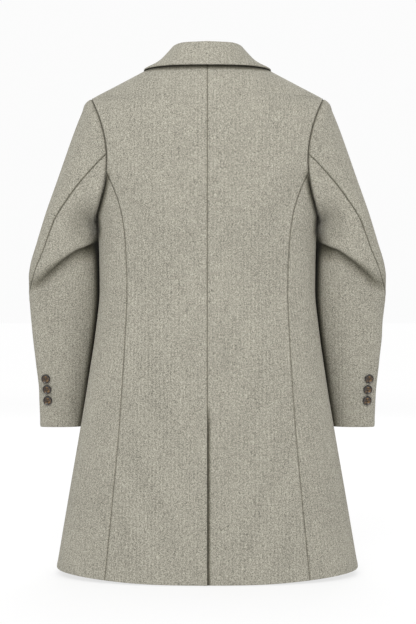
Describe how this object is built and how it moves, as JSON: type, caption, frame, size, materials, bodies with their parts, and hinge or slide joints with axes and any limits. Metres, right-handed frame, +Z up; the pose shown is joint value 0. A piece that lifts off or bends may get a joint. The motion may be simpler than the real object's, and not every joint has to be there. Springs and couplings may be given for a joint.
{
  "type": "herringbone wool overcoat",
  "caption": "Hollow worn overcoat with folded collar, lapels, bent two-piece sleeves and a flared vented skirt, for dressing a figure or a display.",
  "frame": {"origin": "middle of the neck opening, level with the nape, where the wearer's neck and shoulders hold the coat up", "axes": "+Z up, front faces -Y, back faces +Y, +X towards the wearer's left"},
  "size_m": [0.685, 0.2873, 1.0073],
  "materials": {
    "cloth": "matte wool herringbone",
    "button": "polished tortoiseshell"
  },
  "bodies": {
    "root": {"back_left": "cloth", "back_right": "cloth", "vent_underlap": "cloth", "side_left": "cloth", "side_right": "cloth", "front_left": "cloth", "front_right": "cloth", "lapel_left": "cloth", "lapel_right": "cloth", "collar": "cloth", "sleeve_upper_left": "cloth", "sleeve_upper_right": "cloth", "sleeve_under_left": "cloth", "sleeve_under_right": "cloth", "front_button_1": "button", "front_button_2": "button", "front_button_3": "button", "cuff_button_left_1": "button", "cuff_button_left_2": "button", "cuff_button_left_3": "button", "cuff_button_right_1": "button", "cuff_button_right_2": "button", "cuff_button_right_3": "button"}
  },
  "joints": []
}
